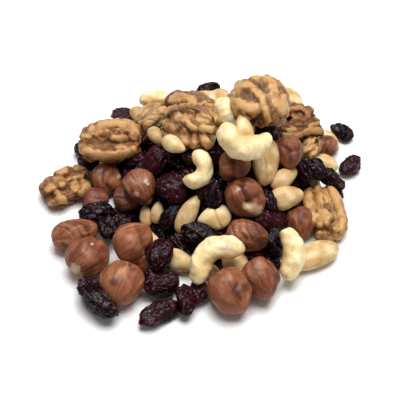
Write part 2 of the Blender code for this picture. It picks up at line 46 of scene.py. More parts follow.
# The eye: a square picture of the heap from a chair at the table
PICTURE_PX = 400
MM_PER_PX = 0.46
EYE_DISTANCE = 480.0
EYE_RAISE = math.radians(48)
AIM = np.array([-1.1, 5.5, 0.0])

# The mound under the nuts that show: a rounded cone, steeper behind than in front
MOUND_TOP = 37.0
MOUND_AT = np.array([6.1, 20.4])
MOUND_LEFT, MOUND_RIGHT = 46.0, 44.0
MOUND_NEAR, MOUND_FAR = 56.0, 39.0
MOUND_ROUNDING = 0.35

# Pieces nestle: two of them rest on each other at this share of their radii, and sink a bit into the mound.
# On its slope they lie with their broad side turned this much more to the eye than the slope has it.
NESTLE = 0.80
SETTLE_IN_MOUND = 1.5
LEAN = 0.5

# Width and thickness as shares of the length
PROPORTIONS = {
    "walnut": (0.80, 0.46),
    "hazelnut": (0.92, 0.90),
    "cashew": (0.68, 0.40),
    "almond": (0.56, 0.42),
    "raisin": (0.64, 0.54),
}

# How much of a cashew's thickness its two blunt ends add to the length of the arc along its middle
CASHEW_ENDS = 0.75

# The near side: what, where it is seen (pixels right and down in the picture), its length, width and
# thickness in mm (0: the usual share of the length), the direction of its long axis as seen (degrees,
# anticlockwise from the right), and, where they aren't 0, how far that end is raised and how far it rolls
# over. Those at the skyline, where what carries them is out of sight, also have their middle's height in mm.
SEEN = (
    # along the back of the heap, from the left
    ("raisin", 127, 117, 15, 9, 7, -5, 0, 0, 8),
    ("almond", 141, 117, 14, 8, 6, -45, 0, 0, 11),
    ("cashew", 154, 101, 17, 0, 7.5, 180, 0, 0, 18),
    ("hazelnut", 177, 101, 12, 0, 0, 60, 0, 0, 21),
    ("raisin", 186, 97, 10, 6, 5, -30, 0, 0, 25),
    ("raisin", 208, 89, 12, 7, 6, 20, 0, 0, 25),
    ("almond", 201, 97, 15, 8.5, 5, 12, 0, 0, 28),
    ("almond", 218, 97, 17, 9, 7, 40, 0, 0, 31),
    ("almond", 292, 99, 16, 9, 7, -50, 0, 0, 14),
    ("cashew", 236, 116, 24, 0, 10, -40),
    ("walnut", 192, 106, 24, 15, 11, -18, 0, 180),
    ("walnut", 152, 118, 15, 13, 10, 40, 0, 180),
    ("walnut", 190, 128, 26, 20, 13, -10),
    ("walnut", 259, 103, 26, 25, 14, 85, 0, 180),
    ("walnut", 299, 114, 14, 11, 8, -20),
    # down the right side
    ("almond", 328, 141, 15, 9, 7, -50),
    ("hazelnut", 325, 147, 12, 0, 0, 70),
    ("walnut", 300, 131, 23, 13, 9, 14, 0, 180),
    ("almond", 324, 163, 14, 9, 6.5, -20),
    ("walnut", 311, 147, 11, 9, 7, 60),
    ("raisin", 276, 132, 10, 7, 6, 80),
    ("raisin", 337, 195, 8, 6, 5, 90),
    ("raisin", 337, 183, 8, 7, 6, -60),
    ("raisin", 329, 176, 11, 8, 7, -50),
    ("raisin", 316, 169, 12, 9, 7, -30),
    ("raisin", 298, 182, 13, 8, 7, 5),
    ("raisin", 303, 170, 13, 7, 6, -60),
    ("hazelnut", 289, 152, 14.5, 12.5, 12, -80),
    ("almond", 284, 178, 17, 8.5, 7, 38),
    ("raisin", 296, 204, 10, 7, 6, 10),
    ("almond", 287, 197, 17, 10.5, 8, 14),
    ("walnut", 325, 212, 29, 17, 12, -78),
    ("hazelnut", 300, 222, 14.5, 13, 12.5, -75),
    # the crest
    ("almond", 244, 131, 14, 8, 7, 100),
    ("almond", 266, 163, 22, 12.5, 10, -101),
    ("hazelnut", 234, 166, 14.5, 13, 12.5, 0),
    ("cashew", 245, 138, 25, 19.5, 10.5, -14),
    ("hazelnut", 245, 197, 18.5, 17.5, 16, -50),
    ("raisin", 269, 203, 12, 6.5, 6, -75),
    # the dark hollow in the middle and what lies in it
    ("raisin", 146, 140, 12, 9, 8, 40),
    ("raisin", 136, 161, 12, 9, 8, 0),
    ("raisin", 156, 161, 14, 12, 9, 60),
    ("raisin", 175, 161, 12, 7, 6, -50),
    ("raisin", 172, 187, 15, 12.5, 9, -40),
    ("raisin", 206, 188, 12, 7, 6, 70),
    ("raisin", 215, 194, 13, 7.5, 7, 80),
    ("almond", 157, 136, 14, 7, 6, -45),
    ("almond", 174, 145, 12, 7, 6, -28),
    ("cashew", 196, 169, 16.5, 15, 7.5, 70),
    # the left side
    ("raisin", 89, 161, 11, 8, 7, 0),
    ("walnut", 110, 141, 29, 22, 13, 5),
    ("walnut", 67, 187, 25, 18, 11, 28),
    ("hazelnut", 95, 200, 12, 11, 11, 0),
    ("hazelnut", 127, 200, 13, 12, 12, 0),
    ("raisin", 97, 214, 16, 12, 9, 0),
    ("raisin", 122, 225, 15, 11, 9, 20),
    ("raisin", 107, 229, 12, 8, 7, -60),
    ("hazelnut", 107, 179, 15.5, 14, 13.5, 70),
    ("almond", 146, 216, 10, 6, 5, 95),
    ("almond", 157, 213, 10, 6, 5, 80),
    ("hazelnut", 140, 187, 17, 15.5, 15, -60),
    # the near slope
    ("raisin", 170, 218, 12, 7, 6, 50),
    ("almond", 188, 214, 18.5, 8, 7, 62),
    ("cashew", 214, 218, 15, 10.5, 8, 200),
    ("raisin", 183, 247, 13, 7.5, 6, -50),
    ("raisin", 199, 234, 17, 9, 7, -12),
    ("raisin", 268, 221, 14, 8, 7, -25),
    ("raisin", 275, 242, 13, 8, 7, -80),
    ("raisin", 254, 255, 10, 7, 6, 0),
    ("hazelnut", 247, 236, 20, 14.5, 14, -15),
    ("hazelnut", 147, 262, 12, 11, 11, 0),
    ("almond", 180, 261, 15, 9, 7, -25),
    ("hazelnut", 133, 242, 19, 16.5, 15, 42),
    # along the table in front, from the left
    ("hazelnut", 74, 235, 21, 14.5, 14, 18),
    ("hazelnut", 88, 257, 19, 18, 17.5, 40),
    ("hazelnut", 122, 283, 19, 18.5, 18, -100),
    ("raisin", 97, 298, 24, 11, 9, -42),
    ("raisin", 160, 253, 16, 11.5, 9, 80),
    ("raisin", 159, 312, 19, 9.5, 8, 28),
    ("raisin", 199, 292, 12, 8, 7, 80),
    ("raisin", 186, 301, 14, 9, 8, -80),
    ("raisin", 161, 283, 16, 13, 10, 15),
    ("cashew", 216, 260, 28, 19, 10, -145),
    ("hazelnut", 230, 291, 20, 18.5, 18, -60),
    ("almond", 314, 256, 24, 12, 8.5, 204),
    ("cashew", 288, 253, 26, 15, 9.5, 90, 30, 0),
    ("hazelnut", 261, 278, 18.5, 16, 16, -58),
)

# The two raisins that lie apart, on the table
STRAYS = (
    ("raisin", 342, 132, 12.5, 8, 7, -32),
    ("raisin", 350, 166, 13, 8.5, 7.5, 32),
)

# The far side, by a seeded rule: each kind's usual length, where pieces come down, how far back and how high
# one may lie, and which share of it may show to the eye where it shouldn't, and at all unless it is a raisin
FAR_SEED = 11
FAR_TRIES = 3600
KINDS = tuple(PROPORTIONS)
USUAL_LENGTHS = {"walnut": 26, "hazelnut": 17, "cashew": 23, "almond": 20, "raisin": 14}
FAR_SHARES = (0.22, 0.24, 0.16, 0.16, 0.22)
HEAP_AT = np.array([1.1, 11.4])
HEAP_REACH = np.array([60.0, 64.0])
HEAP_BACK = 69.8
HIGHEST_LIE = 6.0
MOST_WRONG = 0.12
MOST_SHOWN = 0.3

# Nuts tucked in where the mound is still bare, in rounds: how many places are tried, the share of the usual
# length, and how often each kind is tried. Then how far past the mound's rim they lie, how near they come to
# others, as a share of the radii, and how deep they sit.
TUCKED_SEED = 24
TUCKED_ROUNDS = ((2000, 0.90, (0.22, 0.32, 0.18, 0.28, 0.0)),)
TUCKED_OUT = 1.10
TUCKED_ROOM = 0.72
TUCKED_SINK = 1.0


def eye_axes():
    """The eye's place and its right, up and backward directions."""
    back = np.array([0.0, -math.cos(EYE_RAISE), math.sin(EYE_RAISE)])
    right = np.array([1.0, 0.0, 0.0])
    return AIM + EYE_DISTANCE * back, right, np.cross(back, right), back


EYE, RIGHT, UP, BACK = eye_axes()


def sight_line(px, py):
    """The direction in which the eye sees a place of the picture."""
    half = PICTURE_PX / 2
    way = RIGHT * (px - half) * MM_PER_PX + UP * (half - py) * MM_PER_PX - BACK * EYE_DISTANCE
    return way / np.linalg.norm(way)


def mound_out(x, y):
    """How far out from the mound's top a place lies: 0 there and 1 at the rim, on each of its four sides."""
    reach_x = np.where(x < MOUND_AT[0], MOUND_LEFT, MOUND_RIGHT)
    reach_y = np.where(y < MOUND_AT[1], MOUND_NEAR, MOUND_FAR)
    return np.hypot((x - MOUND_AT[0]) / reach_x, (y - MOUND_AT[1]) / reach_y)


def mound_height(x, y):
    """A rounded cone's height: a hyperbola of how far out a place lies."""
    rim, top = math.hypot(1, MOUND_ROUNDING), MOUND_ROUNDING
    return np.maximum(MOUND_TOP * (rim - np.hypot(mound_out(x, y), MOUND_ROUNDING)) / (rim - top), 0.0)


def mound_normal(x, y):
    """The mound's upward normal, from its slope over a nut's width, or straight up on the table."""
    step = 5.0
    slope_x = (mound_height(x + step, y) - mound_height(x - step, y)) / (2 * step)
    slope_y = (mound_height(x, y + step) - mound_height(x, y - step)) / (2 * step)
    normal = np.array([-slope_x, -slope_y, 1.0])
    return normal / np.linalg.norm(normal)


def turned_to_eye(normal):
    """A slope's normal, turned to the eye, or the table's normal as it is."""
    leaning = normal + LEAN * BACK
    return normal if normal[2] == 1 else leaning / np.linalg.norm(leaning)


def cashew_arc(size):
    """The arc along a cashew's middle, from its three sizes: radius, half angle and depth."""
    half_chord, depth = (size[0] - CASHEW_ENDS * size[2]) / 2, size[1] - size[2]
    half_angle = 2 * math.atan2(depth, half_chord)
    return half_chord / math.sin(half_angle), half_angle, depth


def balls_of(kind, size):
    """A piece as a few balls, centres and radii in its own axes, which is what rests on what."""
    length, width, thick = size
    if kind == "cashew":
        bend, half_angle, depth = cashew_arc(size)
        turn = half_angle * np.linspace(-0.95, 0.95, 7)
        centres = np.stack([bend * np.sin(turn), bend * (1 - np.cos(turn)) - depth / 2, 0 * turn], axis=1)
        return centres, np.full(7, thick / 2)
    ball = thick / 2
    columns = max(2, math.ceil((length - thick) / (0.6 * thick)) + 1)
    along = np.linspace(-1, 1, columns)
    rows = 1 if width < 1.15 * thick else 3
    across = np.linspace(-1, 1, rows) if rows > 1 else np.zeros(1)
    grid_x, grid_y = (g.ravel() for g in np.meshgrid(along, across))
    reach = np.sqrt(np.maximum(1 - 0.45 * grid_x**2, 0))
    x = grid_x * (length / 2 - ball) * np.sqrt(1 - 0.3 * grid_y**2)
    centres = np.stack([x, grid_y * reach * (width / 2 - ball), 0 * grid_x], axis=1)
    return centres, np.full(len(centres), ball)


def axes_on(normal, seen_turn, raised, rolled):
    """A piece's axes, as columns, on a slope, with its long axis seen at an angle in the picture."""
    seen = math.cos(seen_turn) * RIGHT + math.sin(seen_turn) * UP
    long_axis = np.cross(normal, np.cross(BACK, seen))
    long_axis *= math.copysign(1 / np.linalg.norm(long_axis), long_axis @ seen)
    base = np.stack([long_axis, np.cross(normal, long_axis), normal], axis=1)
    ct, st, cr, sr = math.cos(raised), math.sin(raised), math.cos(rolled), math.sin(rolled)
    lift = np.array([[ct, 0, -st], [0, 1, 0], [st, 0, ct]])
    roll = np.array([[1, 0, 0], [0, cr, -sr], [0, sr, cr]])
    return base @ lift @ roll


def way_to_balls(starts, radii, way, placed):
    """How far balls move along a way until one touches a placed ball: a sphere's and a ray's first root."""
    if not len(placed):
        return math.inf
    apart = starts[:, None, :] - placed[None, :, :3]
    reach = NESTLE * (radii[:, None] + placed[None, :, 3])
    middle = -(apart @ way)
    room = middle**2 - ((apart**2).sum(axis=2) - reach**2)
    hit = room > 0
    return float(np.min(middle[hit] - np.sqrt(room[hit]))) if hit.any() else math.inf


def way_to_ground(starts, radii, way):
    """How far balls move along a way until one meets the table, or the mound, felt for in small steps."""
    table = float(np.min((radii - starts[:, 2]) / way[2]))
    steps = np.arange(max(0.0, table - 140.0), table, 0.25)
    points = starts[None] + steps[:, None, None] * way
    ground = mound_height(points[..., 0], points[..., 1])
    room = points[..., 2] - 1.12 * radii - ground + SETTLE_IN_MOUND
    under = np.nonzero(((room < 0) & (ground > 0)).any(axis=1))[0]
    return min(table, float(steps[under[0]])) if len(under) else table


def settle(kind, size, start, way, turn_on, placed):
    """Moves a piece along a way until it rests: its middle, its axes and its balls (x, y, z, radius)."""
    centres, radii = balls_of(kind, size)
    probe = np.array([size[2] / 2])
    reach = min(way_to_ground(start[None], probe, way), way_to_balls(start[None], probe, way, placed))
    landing = start + reach * way
    axes = turn_on(mound_normal(landing[0], landing[1]))
    starts = start + centres @ axes.T
    reach = min(way_to_ground(starts, radii, way), way_to_balls(starts, radii, way, placed))
    middle = start + reach * way
    return middle, axes, np.column_stack([middle + centres @ axes.T, radii])


def seen_by_eye(balls, placed, seen):
    """Which share of these balls' middles and rims the eye sees, and which share shows where it shouldn't.

    That is before the white table, or in front of one of the seen pieces, the first in the list.
    """
    ring = np.linspace(0, 2 * math.pi, 8, endpoint=False)
    spots = [balls[:, :3]]
    spots += [balls[:, :3] + balls[:, 3:] * (math.cos(a) * RIGHT + math.sin(a) * UP) for a in ring]
    spots = np.concatenate(spots)
    far = np.linalg.norm(spots - EYE, axis=1)
    ways = (spots - EYE) / far[:, None]
    along = ways @ (placed[:, :3] - EYE).T
    off = np.linalg.norm(placed[:, :3] - EYE, axis=1) ** 2 - along**2
    met = off < placed[:, 3] ** 2
    open_spots = ~(met & (along < far[:, None])).any(axis=1)
    in_front = open_spots & met[:, :seen].any(axis=1)
    beyond = spots[:, None, :] + np.arange(0, 90, 3.0)[None, :, None] * ways[:, None, :]
    ground = mound_height(beyond[..., 0], beyond[..., 1])
    over_mound = ((beyond[..., 2] < ground) & (ground > 0)).any(axis=1)
    return float(open_spots.mean()), float((in_front | (open_spots & ~over_mound)).mean())


def full_size(kind, length, width, thick):
    """A piece's three sizes, with the usual share of the length where one is 0."""
    wide, deep = PROPORTIONS[kind]
    return np.array([length, width or wide * length, thick or deep * length])


def lay_seen(rows, placed, laid):
    """Slides each piece of a list along its line of sight until it rests, or is at its given height."""
    for kind, px, py, length, width, thick, turn, *more in rows:
        raised, rolled, *height = more or (0, 0)
        size, way = full_size(kind, length, width, thick), sight_line(px, py)
        angles = [math.radians(a) for a in (turn, raised, rolled)]
        turn_on = lambda slope: axes_on(turned_to_eye(slope), *angles)
        middle, axes, balls = settle(kind, size, EYE, way, turn_on, placed)
        if height:
            back_up = (height[0] - middle[2]) / way[2] * way
            middle, balls[:, :3] = middle + back_up, balls[:, :3] + back_up
        placed = np.vstack([placed, balls])
        laid.append((kind, size, middle, axes))
    return placed


def random_piece(rng, shares, scale, middle, reach):
    """A piece of a random kind and size, a random place in an oval, and how it is turned and rolled."""
    kind = KINDS[rng.choice(len(KINDS), p=shares)]
    size = full_size(kind, scale * USUAL_LENGTHS[kind] * rng.uniform(0.86, 1.14), 0, 0)
    around, out = rng.uniform(0, 2 * math.pi), math.sqrt(rng.uniform())
    x, y = middle + out * reach * np.array([math.cos(around), math.sin(around)])
    turn, roll = rng.uniform(-math.pi, math.pi), rng.choice([0, math.pi]) + rng.normal(0, 0.25)
    return kind, size, np.array([x, y, mound_height(x, y)]), turn, roll


def fits_in(kind, balls, placed, seen):
    """Whether a piece stays within the heap and leaves the eye's picture as it is: only raisins may show."""
    if (balls[:, 1] + balls[:, 3]).max() > HEAP_BACK:
        return False
    shows, wrong = seen_by_eye(balls, placed, seen)
    return wrong < MOST_WRONG and (shows < MOST_SHOWN or kind == "raisin")


def lay_far(placed, laid, seen):
    """Lets pieces come down square to the slope, at random, and keeps those that lie low and hardly show."""
    rng = np.random.default_rng(FAR_SEED)
    for _ in range(FAR_TRIES):
        kind, size, target, turn, roll = random_piece(rng, FAR_SHARES, 1.0, HEAP_AT, HEAP_REACH)
        normal = mound_normal(target[0], target[1])
        start = target + 100 * normal
        turn_on = lambda slope: axes_on(slope, turn, 0.0, roll)
        middle, axes, balls = settle(kind, size, start, -normal, turn_on, placed)
        low = (middle - target) @ normal - size[2] / 2 < HIGHEST_LIE
        apart = np.linalg.norm(balls[:, None, :3] - placed[None, :, :3], axis=2)
        touches = (apart - balls[:, None, 3] - placed[:, 3]).min() < 0 or target[2] > 4
        if low and touches and fits_in(kind, balls, placed, seen):
            placed = np.vstack([placed, balls])
            laid.append((kind, size, middle, axes))
    return placed


def tuck_in(placed, laid, seen, rounds, seed):
    """Puts pieces on the mound, or on the table against it, where there is room between the others."""
    rng = np.random.default_rng(seed)
    for tries, scale, shares in rounds:
        for _ in range(tries):
            kind, size, target, turn, roll = random_piece(rng, shares, scale, HEAP_AT, HEAP_REACH)
            if mound_out(target[0], target[1]) > TUCKED_OUT:
                continue
            on_table = target[2] < 1.0
            normal = np.array([0.0, 0.0, 1.0]) if on_table else mound_normal(target[0], target[1])
            axes = axes_on(normal, turn, 0.0, roll)
            middle = target + (size[2] / 2 - (0.0 if on_table else TUCKED_SINK)) * normal
            centres, radii = balls_of(kind, size)
            balls = np.column_stack([middle + centres @ axes.T, radii])
            apart = np.linalg.norm(balls[:, None, :3] - placed[None, :, :3], axis=2)
            room = apart - TUCKED_ROOM * (radii[:, None] + placed[None, :, 3])
            ties = not on_table or (apart - radii[:, None] - placed[None, :, 3]).min() < -0.3
            if room.min() > 0 and ties and fits_in(kind, balls, placed, seen):
                placed = np.vstack([placed, balls])
                laid.append((kind, size, middle, axes))
    return placed


def lay_out():
    """Everything in its place: kind, size, middle and axes of each piece of the heap, and of the strays."""
    placed, heap, strays = np.zeros((0, 4)), [], []
    placed = lay_seen(SEEN, placed, heap)
    seen = len(placed)
    placed = lay_far(placed, heap, seen)
    placed = tuck_in(placed, heap, seen, TUCKED_ROUNDS, TUCKED_SEED)
    lay_seen(STRAYS, placed, strays)
    return heap, strays


# Small raisins and nuts in the last gaps, laid like those that are tucked in: places tried, size, kinds
SMALL_SEED = 31
SMALL_ROUNDS = (
    (1500, 1.00, (0.0, 0.1, 0.0, 0.1, 0.8)),
    (2000, 0.85, (0.0, 0.15, 0.0, 0.15, 0.7)),
    (5000, 0.70, (0.0, 0.0, 0.0, 0.0, 1.0)),
)

# The fine form of each piece

# Distance between neighbouring points of a piece's surface, mm, and how much wider it is out of sight
SPACING = {"walnut": 0.40, "hazelnut": 0.52, "cashew": 0.52, "almond": 0.55, "raisin": 0.50}
COARSER = 1.6

# How far the hollows between a walnut's folds lie below its plain shape, mm
FOLD_BASE = 2.2

# The folds of the walnuts that show best, by where the walnut is seen: the middle line of each fold, and its
# half width, both in pixels of the picture
FOLDS = {
    (259, 103): (
        (((240, 104), (246, 108), (255, 109)), 7.0),
        (((233, 93), (239, 85), (248, 83), (256, 90), (262, 96), (265, 107), (268, 121)), 4.4),
        (((273, 93), (277, 103), (282, 111)), 5.6), (((254, 76), (268, 78), (274, 87)), 5.0),
        (((231, 95), (232, 105), (237, 115), (248, 120)), 3.2), (((285, 96), (287, 108)), 3.0),
    ),
    (110, 141): (
        (((93, 131), (102, 126), (113, 124), (126, 126), (134, 130), (133, 136)), 6.2),
        (((83, 135), (90, 136)), 3.6),
        (((82, 149), (94, 154), (107, 156), (120, 155), (132, 151)), 5.8),
        (((114, 138), (125, 138)), 4.2), (((116, 146), (126, 146)), 2.6),
    ),
    (67, 187): (
        (((58, 171), (64, 171)), 6.0), (((56, 180), (60, 179)), 5.0), (((48, 189), (51, 187)), 5.2),
        (((77, 168), (93, 168)), 4.4), (((69, 178), (83, 175)), 3.0), (((74, 184), (74, 188)), 5.0),
        (((85, 184), (87, 189), (83, 193)), 5.0), (((62, 185), (64, 184)), 3.6),
        (((57, 193), (59, 194)), 3.2), (((59, 200), (64, 200)), 5.2), (((50, 203), (54, 203)), 4.4),
    ),
    (192, 106): (
        (((172, 100), (182, 97), (193, 100), (191, 110)), 5.2),
        (((175, 108), (182, 110), (189, 118)), 4.8), (((199, 105), (206, 102)), 3.0),
        (((208, 108), (214, 109), (220, 115), (218, 121)), 5.0),
    ),
    (190, 128): (
        (((169, 127), (173, 130)), 5.0), (((183, 134), (186, 142)), 4.6),
        (((189, 125), (193, 129)), 3.8), (((194, 137), (193, 147)), 3.6),
        (((202, 128), (213, 130)), 5.2), (((204, 139), (209, 146)), 6.0),
        (((177, 117), (187, 119)), 4.6), (((213, 108), (220, 115), (218, 121)), 4.6),
        (((199, 117), (207, 119)), 4.2), (((176, 140), (178, 146)), 3.6),
        (((215, 138), (214, 146)), 3.6),
    ),
    (299, 114): (
        (((290, 109), (300, 107), (308, 112), (308, 120)), 3.6), (((293, 116), (299, 119)), 3.2),
    ),
    (300, 131): (
        (((284, 136), (298, 136), (310, 131), (320, 131)), 4.4), (((312, 124), (319, 122)), 2.8),
        (((288, 129), (296, 129)), 3.0),
    ),
    (311, 147): (
        (((308, 142), (313, 140)), 3.4), (((307, 149), (314, 147)), 3.4),
        (((313, 154), (316, 152)), 3.0),
    ),
    (325, 212): (
        (((315, 182), (318, 192), (320, 204)), 5.0), (((323, 217), (324, 219)), 9.0),
        (((306, 193), (309, 206), (312, 220)), 6.4),
        (((332, 190), (338, 205), (341, 221), (338, 235)), 6.2), (((325, 190), (329, 200)), 3.4),
        (((319, 236), (330, 239)), 5.4),
    ),
}

# Creases and dents of nuts that show: the line, its half width in pixels, and its depth in mm
CREASES = {
    (107, 179): ((((100, 169), (102, 181), (112, 192)), 3.0, 0.7),),
    (133, 242): ((((139, 226), (143, 238), (147, 249)), 5.0, 1.5),),
    (74, 235): (
        (((58, 226), (66, 228), (74, 236)), 1.3, 0.25),
        (((64, 221), (74, 224), (82, 236)), 1.3, 0.25),
        (((74, 220), (84, 226), (90, 236)), 1.3, 0.25),
    ),
    (88, 257): ((((86, 249), (97, 239)), 3.0, 0.5),),
    (234, 166): ((((233, 159), (234, 178)), 3.0, 0.9),),
    (245, 197): (
        (((243, 174), (239, 188), (248, 204)), 4.0, 1.9),
        (((267, 191), (256, 197), (248, 204)), 3.5, 1.4),
    ),
    (247, 236): (
        (((239, 220), (240, 231), (246, 238), (247, 250)), 1.5, 0.5),
        (((231, 224), (235, 236), (237, 247)), 1.3, 0.4),
        (((246, 220), (249, 231), (253, 240)), 1.3, 0.35),
        (((255, 223), (260, 233), (260, 243)), 1.3, 0.35),
    ),
    (261, 278): ((((266, 259), (275, 268), (279, 280), (275, 292)), 2.2, 1.3),),
    (230, 291): ((((238, 284), (234, 292), (241, 300)), 3.0, 0.6),),
    (325, 147): ((((324, 139), (325, 147), (327, 154)), 3.0, 1.2),),
    (289, 152): ((((282, 145), (290, 152), (299, 149)), 2.5, 0.8), (((290, 152), (289, 163)), 2.5, 0.7)),
    (140, 187): ((((130, 186), (134, 198), (144, 203), (154, 197)), 2.0, 0.6),),
    (266, 163): ((((262, 146), (266, 163), (266, 184)), 1.2, 0.25),),
    (244, 131): ((((247, 124), (249, 136)), 2.0, 0.4),),
    (214, 218): ((((214, 208), (217, 220), (222, 228)), 1.3, 0.35),),
}

# How light each of these is within its kind, from 0 to 1, by where it is seen; the others draw it at random
SHADES = {
    (259, 103): 0.45, (190, 128): 0.5, (110, 141): 0.35, (67, 187): 0.3, (325, 212): 0.55, (299, 114): 0.1,
    (300, 131): 0.15, (311, 147): 0.7, (192, 106): 0.5, (152, 118): 0.9,
    (107, 179): 0.70, (140, 187): 0.10, (133, 242): 0.90, (74, 235): 0.75, (88, 257): 0.40, (122, 283): 0.85,
    (230, 291): 0.60, (261, 278): 0.50, (247, 236): 0.72, (245, 197): 0.40, (300, 222): 0.25,
    (289, 152): 0.30, (325, 147): 0.12, (234, 166): 0.65, (95, 200): 0.0, (127, 200): 0.05,
    (147, 262): 0.4, (177, 101): 0.3,
}

# Hazelnuts' pale patches, where the skin is off and where a highlight is painted, and darker patches: where
# in the picture, and half the width in mm
BARE_AND_HIGHLIGHTS = (
    (74, 269, 3.2), (252, 208, 3.2), (258, 210, 3.0), (247, 206, 2.4), (238, 189, 1.6), (146, 181, 1.3),
    (148, 184, 1.0), (136, 194, 1.7), (119, 176, 1.4), (100, 170, 1.5), (289, 212, 1.3), (92, 244, 0.8),
)
DARK_PATCHES = (
    (113, 282, 2.4), (130, 265, 1.7), (133, 269, 1.7), (245, 288, 3.0), (242, 171, 2.6), (53, 226, 3.0),
    (87, 228, 2.2), (64, 245, 1.8), (260, 240, 5.0), (262, 230, 3.4), (277, 276, 2.4),
)

# Cashews seen end on, which look like an oval kernel with a crease
END_ON = ((214, 218),)


def ball_grid(around, rings):
    """A closed ball of rings round the X axis: each point's latitude and longitude, and the triangles."""
    lat = np.linspace(-np.pi / 2, np.pi / 2, rings + 2)[1:-1]
    lon = np.linspace(0, 2 * np.pi, around, endpoint=False)
    lats = np.concatenate([[-np.pi / 2], np.repeat(lat, around), [np.pi / 2]])
    lons = np.concatenate([[0], np.tile(lon, rings), [0]])
    k, after = np.arange(around), (np.arange(around) + 1) % around
    row = 1 + around * np.arange(rings - 1)[:, None]
    a, b, c, d = row + k, row + after, row + around + after, row + around + k
    last, end = 1 + around * (rings - 1), 1 + around * rings
    caps = [np.stack([0 * k, 1 + after, 1 + k], 1), np.stack([0 * k + end, last + k, last + after], 1)]
    sides = [np.stack(corners, -1).reshape(-1, 3) for corners in ((a, b, c), (a, c, d))]
    return lats, lons, np.concatenate(caps + sides)


def normals_of(points, triangles):
    """Outward normal at each point: the sum of its triangles' normals, as long as each triangle is large."""
    a, b, c = (points[triangles[:, k]] for k in range(3))
    across = np.cross(b - a, c - a)
    normals = np.zeros_like(points)
    for k in range(3):
        np.add.at(normals, triangles[:, k], across)
    return normals / np.linalg.norm(normals, axis=1, keepdims=True)


def waves(points, wavelength, rng, count=14):
    """A smooth random height of about -1 to 1: sine waves in random directions, added up."""
    ways = rng.normal(size=(count, 3))
    long = np.linalg.norm(ways, axis=1, keepdims=True)
    ways *= 2 * np.pi * rng.uniform(0.75, 1.3, (count, 1)) / (wavelength * long)
    return np.sin(points @ ways.T + rng.uniform(0, 2 * np.pi, count)).sum(axis=1) / math.sqrt(count / 2)


def picture_place(points):
    """Where the eye sees each point, in pixels right and down, and how many mm a pixel is there."""
    away = points - EYE
    pixel = MM_PER_PX * (away @ -BACK) / EYE_DISTANCE
    half = PICTURE_PX / 2
    return np.stack([half + away @ RIGHT / pixel, half - away @ UP / pixel], axis=1), pixel


def step(value, low, high):
    """A smooth step from 0 at the low value to 1 at the high one: 3 t squared less 2 t cubed."""
    t = np.clip((value - low) / (high - low), 0, 1)
    return t * t * (3 - 2 * t)


def way_from(spots, line):
    """Distance in pixels from places of the picture to a bent line: to the nearest point on any stretch."""
    line = np.array(line, float)
    start, way = line[:-1, None], (line[1:] - line[:-1])[:, None]
    along = np.clip(((spots - start) * way).sum(axis=2) / (way**2).sum(axis=2), 0, 1)
    return np.linalg.norm(spots - start - along[..., None] * way, axis=2).min(axis=0)


def almond(lat, lon, size, rng):
    """An oval with a round end and a pointed end at +X, a little flat and wavy along its length."""
    s, c = np.sin(lat), np.cos(lat)
    taper = 1 - 0.20 * s
    y = size[1] / 2 * c * taper * np.cos(lon)
    base = np.stack([size[0] / 2 * s, y, size[2] / 2 * c * taper**0.5 * np.sin(lon)], axis=1)
    bumps = waves(base * (0.6, 1, 1), 8.0, rng)
    return base, 0.12 * bumps, 0.5 + 0.3 * bumps


def hazelnut(lat, lon, size, rng):
    """A round kernel, broader toward its flat scar at -X, with a short tip at +X, low dents and fine ribs."""
    s, c = np.sin(lat), np.cos(lat)
    x = size[0] / 2 * np.where(s < 0, 0.94 * s, s + 0.06 * np.maximum(s, 0) ** 12)
    broad = (1 - 0.10 * s) * c**0.92
    base = np.stack([x, size[1] / 2 * broad * np.cos(lon), size[2] / 2 * broad * np.sin(lon)], axis=1)
    dents = waves(base * (0.7, 1, 1), 10.0, rng)
    ribs = waves(np.stack([9 * np.cos(lon), 9 * np.sin(lon), 0.5 * base[:, 0]], axis=1), 5.0, rng) * c
    fine = waves(np.stack([9 * np.cos(lon), 9 * np.sin(lon), 0.3 * base[:, 0]], axis=1), 2.6, rng) * c
    return base, 0.30 * dents + 0.10 * ribs + 0.05 * fine, 0.75 + 0.2 * ribs


def cashew(lat, lon, size, rng):
    """A crescent that opens to +Y: a tube along an arc, with blunt ends, one thinner, and low bumps."""
    bend, half_angle, depth = cashew_arc(size)
    along = lat / (math.pi / 2)
    tube = size[2] / 2 * np.sqrt(1 - along**4) * (1 - 0.10 * along)
    out = bend + tube * np.cos(lon)
    x = out * np.sin(half_angle * along)
    y = bend - depth / 2 - out * np.cos(half_angle * along)
    base = np.stack([x, y, -tube * np.sin(lon)], axis=1)
    return base, 0.28 * waves(base, 8.0, rng) + 0.10 * waves(base, 3.5, rng), 0.5 + 0.5 * np.cos(lon)


def raisin(lat, lon, size, rng):
    """A shrunken oval: blunt folds and narrow wrinkles along it, which rise where a smooth height is 0."""
    s, c = np.sin(lat), np.cos(lat)
    out = c * (1 + 0.10 * np.cos(3 * lon + 2 * s))
    y, z = size[1] / 2 * out * np.cos(lon), size[2] / 2 * out * np.sin(lon)
    base = np.stack([size[0] / 2 * s, y, z], axis=1)
    dents = waves(base * (0.8, 1, 1), 9.0, rng)
    broad = np.exp(-((waves(base * (0.40, 1, 1), 4.4, rng) / 0.55) ** 2))
    narrow = np.exp(-((waves(base * (0.45, 1, 1), 2.6, rng) / 0.65) ** 2))
    relief = 0.35 * dents + 0.60 * (broad - 0.5) + 0.42 * (narrow - 0.5)
    return base, relief, np.clip(0.5 * broad + 0.5 * narrow, 0, 1)


